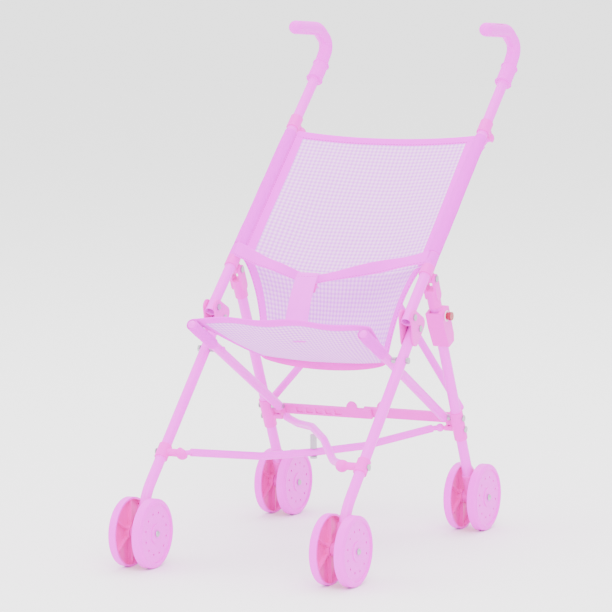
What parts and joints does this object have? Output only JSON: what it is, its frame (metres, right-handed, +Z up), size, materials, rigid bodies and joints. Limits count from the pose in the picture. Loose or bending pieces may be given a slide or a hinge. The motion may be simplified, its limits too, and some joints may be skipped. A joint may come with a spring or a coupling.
{
  "type": "doll stroller",
  "caption": "Folding doll umbrella stroller with two hooked handles, crossing tubes, double wheels, a sling seat and a waist and crotch strap.",
  "frame": {"origin": "on the floor under the middle of the overall box", "axes": "+X to the right seen from the front, +Y from the front wheels towards the person who pushes, +Z up"},
  "size_m": [0.2786, 0.4888, 0.5547],
  "materials": {
    "pink_paint": "gloss",
    "clip_plastic": "semi-gloss moulded",
    "grip_plastic": "satin moulded",
    "wheel_plastic": "satin moulded",
    "button_plastic": "glossy",
    "steel": "plated",
    "gingham_cloth": "woven, small check",
    "webbing": "woven, bound edges"
  },
  "bodies": {
    "left_handle": {"left_handle_tube": "pink_paint", "left_grip": "grip_plastic", "left_hinge_clip": "clip_plastic", "left_back_clip": "clip_plastic", "left_handle_rivets": "steel", "backrest": "gingham_cloth"},
    "left_front_leg": {"left_front_leg": "pink_paint", "left_knuckle": "clip_plastic", "left_front_bracket": "clip_plastic", "left_front_axle_block": "clip_plastic", "left_front_axle": "steel", "left_front_rivets": "steel"},
    "left_rear_leg": {"left_rear_leg": "pink_paint", "left_leg_cap": "clip_plastic", "left_rear_bracket": "clip_plastic", "left_rear_axle_block": "clip_plastic", "left_rear_axle": "steel", "left_rear_rivets": "steel"},
    "left_seat_rail": {"left_seat_rail": "pink_paint"},
    "left_back_cross": {"left_back_cross": "pink_paint"},
    "left_base_cross": {"left_base_cross": "pink_paint", "base_cross_rivet": "steel"},
    "left_brace": {"left_brace_half": "clip_plastic"},
    "left_front_outer_wheel": {"left_front_outer_wheel": "wheel_plastic"},
    "left_front_inner_wheel": {"left_front_inner_wheel": "wheel_plastic"},
    "left_rear_outer_wheel": {"left_rear_outer_wheel": "wheel_plastic"},
    "left_rear_inner_wheel": {"left_rear_inner_wheel": "wheel_plastic"},
    "right_handle": {"right_handle_tube": "pink_paint", "right_grip": "grip_plastic", "right_hinge_clip": "clip_plastic", "right_back_clip": "clip_plastic", "right_handle_rivets": "steel"},
    "right_front_leg": {"right_front_leg": "pink_paint", "right_knuckle": "clip_plastic", "right_front_bracket": "clip_plastic", "right_front_axle_block": "clip_plastic", "right_front_axle": "steel", "right_front_rivets": "steel"},
    "right_rear_leg": {"right_rear_leg": "pink_paint", "right_leg_cap": "clip_plastic", "right_rear_bracket": "clip_plastic", "right_rear_axle_block": "clip_plastic", "right_rear_axle": "steel", "right_rear_rivets": "steel", "latch_housing": "clip_plastic", "latch_spring": "steel"},
    "right_seat_rail": {"right_seat_rail": "pink_paint"},
    "right_back_cross": {"right_back_cross": "pink_paint"},
    "right_base_cross": {"right_base_cross": "pink_paint"},
    "right_brace": {"right_brace_half": "clip_plastic"},
    "right_front_outer_wheel": {"right_front_outer_wheel": "wheel_plastic"},
    "right_front_inner_wheel": {"right_front_inner_wheel": "wheel_plastic"},
    "right_rear_outer_wheel": {"right_rear_outer_wheel": "wheel_plastic"},
    "right_rear_inner_wheel": {"right_rear_inner_wheel": "wheel_plastic"},
    "lower_backrest": {"lower_backrest": "gingham_cloth"},
    "seat": {"seat": "gingham_cloth"},
    "harness": {"waist_strap": "webbing", "crotch_strap": "webbing"},
    "latch_button": {"latch_button": "button_plastic"}
  },
  "joints": [
    {"name": "fold", "type": "slide", "parent": "left_handle", "child": "right_handle", "axis": [-1, 0, 0], "range_m": [0, 0.165], "deforming": ["backrest", "lower_backrest", "seat", "waist_strap", "crotch_strap"]},
    {"name": "left_rear_leg_swing", "type": "hinge", "parent": "left_handle", "child": "left_rear_leg", "pos_m": [-0.117, 0.01114, 0.29006], "axis": [1, 0, 0], "range_deg": [-60, 0]},
    {"name": "left_front_leg_swing", "type": "hinge", "parent": "left_handle", "child": "left_front_leg", "pos_m": [-0.117, -0.04376, 0.2552], "axis": [1, 0, 0], "range_deg": [-176, 0]},
    {"name": "left_seat_rail_swing", "type": "hinge", "parent": "left_rear_leg", "child": "left_seat_rail", "pos_m": [-0.101, 0.07856, 0.12965], "axis": [1, 0, 0], "range_deg": [-22.75, 0]},
    {"name": "left_back_cross_swing", "type": "hinge", "parent": "left_handle", "child": "left_back_cross", "pos_m": [-0.116, 0.16729, 0.42753], "axis": [-0.5891, 0.5361, -0.6046], "range_deg": [0, 36.63]},
    {"name": "left_base_cross_swing", "type": "hinge", "parent": "left_front_leg", "child": "left_base_cross", "pos_m": [-0.094, -0.15711, 0.11409], "axis": [0.7335, -0.5759, 0.361], "range_deg": [0, 60.01]},
    {"name": "left_brace_swing", "type": "hinge", "parent": "left_rear_leg", "child": "left_brace", "pos_m": [-0.105, 0.09538, 0.1237], "axis": [0, -0.9219, -0.3875], "range_deg": [0, 75]},
    {"name": "right_rear_leg_swing", "type": "hinge", "parent": "right_handle", "child": "right_rear_leg", "pos_m": [0.117, 0.01114, 0.29006], "axis": [1, 0, 0], "range_deg": [-60, 0]},
    {"name": "right_front_leg_swing", "type": "hinge", "parent": "right_handle", "child": "right_front_leg", "pos_m": [0.117, -0.04376, 0.2552], "axis": [1, 0, 0], "range_deg": [-176, 0]},
    {"name": "right_seat_rail_swing", "type": "hinge", "parent": "right_rear_leg", "child": "right_seat_rail", "pos_m": [0.101, 0.07856, 0.12965], "axis": [1, 0, 0], "range_deg": [-22.75, 0]},
    {"name": "right_back_cross_swing", "type": "hinge", "parent": "right_handle", "child": "right_back_cross", "pos_m": [0.116, 0.16729, 0.42753], "axis": [-0.5891, -0.5361, 0.6046], "range_deg": [0, 36.63]},
    {"name": "right_base_cross_swing", "type": "hinge", "parent": "right_front_leg", "child": "right_base_cross", "pos_m": [0.094, -0.15711, 0.11409], "axis": [0.7335, 0.5759, -0.361], "range_deg": [0, 60.01]},
    {"name": "right_brace_swing", "type": "hinge", "parent": "right_rear_leg", "child": "right_brace", "pos_m": [0.105, 0.09888, 0.12518], "axis": [0, 0.9219, 0.3875], "range_deg": [0, 75]},
    {"name": "lower_backrest_swing", "type": "hinge", "parent": "left_handle", "child": "lower_backrest", "pos_m": [0, 0.00164, 0.29151], "axis": [1, 0, 0], "range_deg": [-81.9, 0]},
    {"name": "seat_swing", "type": "hinge", "parent": "lower_backrest", "child": "seat", "pos_m": [0, -0.01018, 0.19819], "axis": [1, 0, 0], "range_deg": [-36.1, 0]},
    {"name": "harness_shift", "type": "slide", "parent": "left_handle", "child": "harness", "axis": [-1, 0, 0], "range_m": [0, 0.0825]},
    {"name": "latch_button_press", "type": "slide", "parent": "right_rear_leg", "child": "latch_button", "axis": [-1, 0, 0], "range_m": [0, 0.0015], "stiffness_N_per_m": 700, "springref_m": -0.0005},
    {"name": "left_front_outer_wheel_spin", "type": "hinge", "parent": "left_front_leg", "child": "left_front_outer_wheel", "pos_m": [-0.117, -0.20771, 0.0367], "axis": [1, 0, 0], "continuous": true},
    {"name": "left_front_inner_wheel_spin", "type": "hinge", "parent": "left_front_leg", "child": "left_front_inner_wheel", "pos_m": [-0.117, -0.20771, 0.0367], "axis": [1, 0, 0], "continuous": true},
    {"name": "right_front_outer_wheel_spin", "type": "hinge", "parent": "right_front_leg", "child": "right_front_outer_wheel", "pos_m": [0.117, -0.20771, 0.0367], "axis": [1, 0, 0], "continuous": true},
    {"name": "right_front_inner_wheel_spin", "type": "hinge", "parent": "right_front_leg", "child": "right_front_inner_wheel", "pos_m": [0.117, -0.20771, 0.0367], "axis": [1, 0, 0], "continuous": true},
    {"name": "left_rear_outer_wheel_spin", "type": "hinge", "parent": "left_rear_leg", "child": "left_rear_outer_wheel", "pos_m": [-0.117, 0.11764, 0.0367], "axis": [1, 0, 0], "continuous": true},
    {"name": "left_rear_inner_wheel_spin", "type": "hinge", "parent": "left_rear_leg", "child": "left_rear_inner_wheel", "pos_m": [-0.117, 0.11764, 0.0367], "axis": [1, 0, 0], "continuous": true},
    {"name": "right_rear_outer_wheel_spin", "type": "hinge", "parent": "right_rear_leg", "child": "right_rear_outer_wheel", "pos_m": [0.117, 0.11764, 0.0367], "axis": [1, 0, 0], "continuous": true},
    {"name": "right_rear_inner_wheel_spin", "type": "hinge", "parent": "right_rear_leg", "child": "right_rear_inner_wheel", "pos_m": [0.117, 0.11764, 0.0367], "axis": [1, 0, 0], "continuous": true}
  ],
  "couplings": [
    {"joint": "left_rear_leg_swing", "follows": "fold", "rad_per_m": -6.346},
    {"joint": "left_front_leg_swing", "follows": "fold", "rad_per_m": -18.615},
    {"joint": "left_seat_rail_swing", "follows": "fold", "rad_per_m": -2.4064},
    {"joint": "left_back_cross_swing", "follows": "fold", "rad_per_m": 3.8734},
    {"joint": "left_base_cross_swing", "follows": "fold", "rad_per_m": 6.3461},
    {"joint": "left_brace_swing", "follows": "fold", "rad_per_m": 7.9325},
    {"joint": "right_rear_leg_swing", "follows": "fold", "rad_per_m": -6.346},
    {"joint": "right_front_leg_swing", "follows": "fold", "rad_per_m": -18.615},
    {"joint": "right_seat_rail_swing", "follows": "fold", "rad_per_m": -2.4064},
    {"joint": "right_back_cross_swing", "follows": "fold", "rad_per_m": 3.8734},
    {"joint": "right_base_cross_swing", "follows": "fold", "rad_per_m": 6.3461},
    {"joint": "right_brace_swing", "follows": "fold", "rad_per_m": 7.9325},
    {"joint": "lower_backrest_swing", "follows": "fold", "rad_per_m": -8.6623},
    {"joint": "seat_swing", "follows": "fold", "rad_per_m": -3.8182},
    {"joint": "harness_shift", "follows": "fold", "ratio": 0.5}
  ]
}
